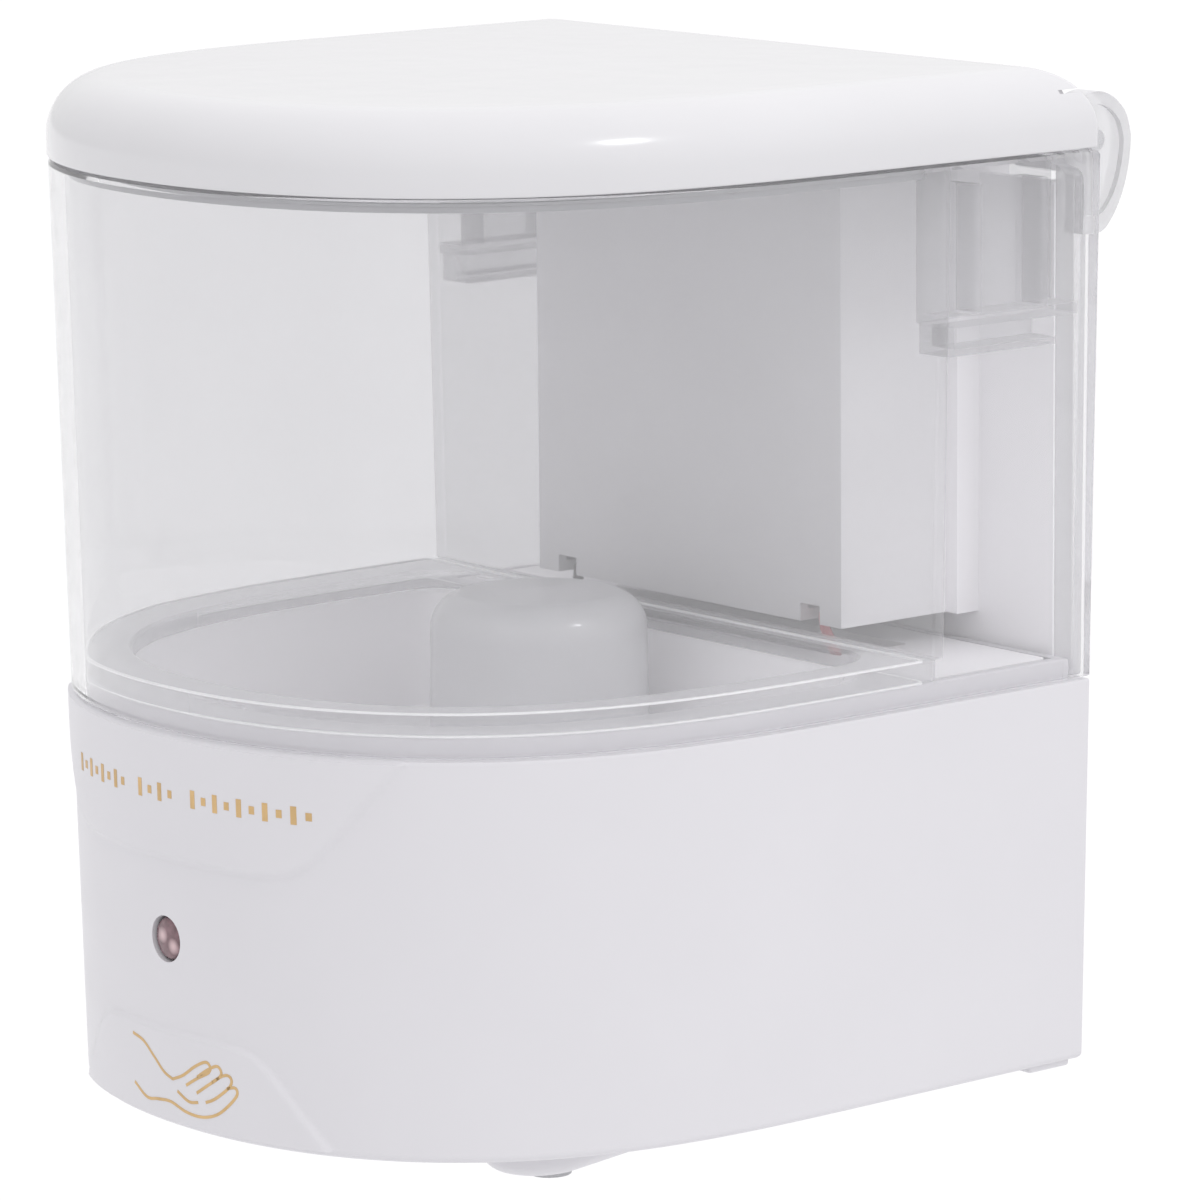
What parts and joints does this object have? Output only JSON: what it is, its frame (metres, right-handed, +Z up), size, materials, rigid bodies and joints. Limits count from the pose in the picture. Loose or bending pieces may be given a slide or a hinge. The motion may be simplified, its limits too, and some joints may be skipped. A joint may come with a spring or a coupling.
{
  "type": "wall mounted soap dispenser",
  "caption": "White wall mounted soap dispenser with a clear soap tank, hinged lid, rear battery box, front hand sensor and a geared pump above its nozzle.",
  "frame": {"origin": "centre of the wall bracket's rear face, which lies on the wall", "axes": "+Z up, the dispenser's front faces -Y, +Y points into the wall, +X to the right of someone facing along +Y"},
  "size_m": [0.1178, 0.1304, 0.1601],
  "materials": {
    "white": "gloss white ABS",
    "lid_white": "high gloss white ABS",
    "clear": "clear moulded styrene, gloss",
    "frosted": "translucent frosted polypropylene",
    "silicone": "translucent grey silicone",
    "grey": "grey moulded acetal",
    "lens": "smoked infrared-clear lens",
    "steel": "zinc plated steel",
    "brass": "plain brass",
    "board": "green circuit board",
    "black": "black moulded",
    "red": "red wire sleeve",
    "cell": "plain dark steel cell jacket"
  },
  "bodies": {
    "bracket": {"wall_bracket": "white", "wall_screw_left": "steel", "wall_screw_right": "steel"},
    "lid": {"lid": "lid_white", "lid_seal": "silicone"},
    "battery_cover": {"battery_cover": "white"},
    "switch_knob": {"switch_knob": "black"},
    "rotor": {"pump_rotor": "grey", "roller_1": "white", "roller_2": "white", "roller_3": "white"},
    "idler": {"idler_gear": "silicone"},
    "pinion": {"motor_pinion": "brass"},
    "dispenser": {"base_housing": "white", "base_floor": "white", "nozzle_shroud": "white", "nozzle_tip": "silicone", "sensor_window": "lens", "ir_emitter": "clear", "ir_receiver": "black", "sensor_board": "board", "sump": "white", "pump_cap": "frosted", "pump_housing": "grey", "motor": "steel", "pump_tube": "silicone", "switch_body": "black", "tank": "clear", "hinge_pin_left": "steel", "hinge_pin_right": "steel", "battery_box": "white", "wire_red": "red", "wire_black": "black", "case_screw_1": "steel", "battery_1": "cell", "case_screw_2": "steel", "battery_2": "cell", "case_screw_3": "steel", "battery_3": "cell", "case_screw_4": "steel", "battery_4": "cell", "contact_top_left": "brass", "contact_top_middle": "brass", "contact_top_right": "brass", "contact_low_left": "brass", "contact_low_right": "brass"}
  },
  "joints": [
    {"name": "lift_off", "type": "slide", "parent": "bracket", "child": "dispenser", "axis": [0, 0, 1], "range_m": [0, 0.005]},
    {"name": "lid_hinge", "type": "hinge", "parent": "dispenser", "child": "lid", "pos_m": [0, -0.0087, 0.0998], "axis": [-1, 0, 0], "range_deg": [0, 75]},
    {"name": "battery_cover_slide", "type": "slide", "parent": "dispenser", "child": "battery_cover", "axis": [0, 0, -1], "range_m": [0, 0.055]},
    {"name": "power_switch_slide", "type": "slide", "parent": "dispenser", "child": "switch_knob", "axis": [1, 0, 0], "range_m": [0, 0.003]},
    {"name": "rotor_spin", "type": "hinge", "parent": "dispenser", "child": "rotor", "pos_m": [0, -0.0875, -0.003], "axis": [0, 0, 1], "continuous": true},
    {"name": "idler_spin", "type": "hinge", "parent": "dispenser", "child": "idler", "pos_m": [0.016, -0.0995, -0.001], "axis": [0, 0, 1], "continuous": true},
    {"name": "pinion_spin", "type": "hinge", "parent": "dispenser", "child": "pinion", "pos_m": [0.032, -0.0995, 0.001], "axis": [0, 0, 1], "continuous": true}
  ],
  "couplings": [
    {"joint": "idler_spin", "follows": "rotor_spin", "ratio": -4},
    {"joint": "pinion_spin", "follows": "rotor_spin", "ratio": 12}
  ]
}
